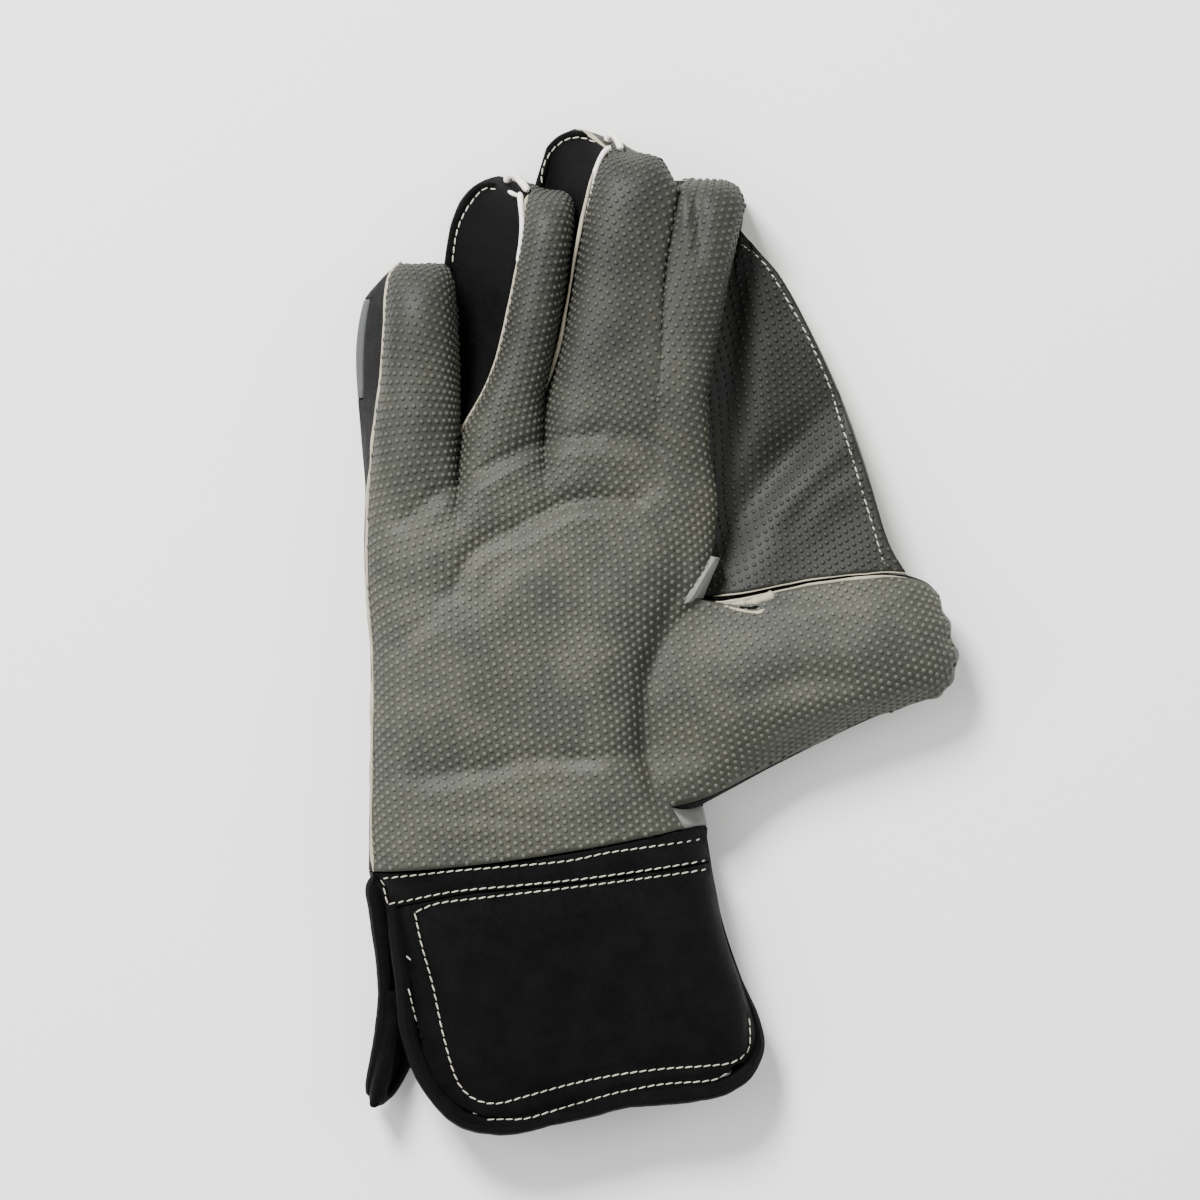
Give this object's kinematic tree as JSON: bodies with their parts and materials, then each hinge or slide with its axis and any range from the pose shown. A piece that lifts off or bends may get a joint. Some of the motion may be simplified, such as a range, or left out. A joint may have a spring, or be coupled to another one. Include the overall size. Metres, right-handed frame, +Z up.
{
  "type": "wicketkeeping glove",
  "caption": "Worn right-hand wicketkeeping glove with a pimpled rubber palm and web, black leather sides and back, and a padded open gauntlet cuff, lying on its back.",
  "frame": {"origin": "on the surface the glove lies on, under the middle of its bounding box", "axes": "+X towards the thumb, +Y towards the fingertips, +Z up, out of the palm"},
  "size_m": [0.1804, 0.3018, 0.0373],
  "materials": {
    "rubber": "worn matt pimpled rubber",
    "leather": "black pebbled leather, slightly worn",
    "suede": "grey suede",
    "patch": "plain grey coated fabric",
    "piping": "off-white cord"
  },
  "bodies": {
    "root": {"palm_facing": "rubber", "thumb_web": "rubber", "glove_back": "leather", "outer_side": "leather", "side_patch": "patch", "fourchette_little_ring": "leather", "fourchette_ring_middle": "leather", "fourchette_middle_index": "leather", "index_side": "leather", "crotch_tab": "suede", "thumb_side": "leather", "wrist_gusset": "suede", "cuff_band": "leather", "cuff_front": "leather", "cuff_back": "leather", "cuff_binding": "leather", "seam_piping_ring": "piping", "tip_loop_ring": "piping", "seam_piping_middle": "piping", "tip_loop_middle": "piping"}
  },
  "joints": []
}
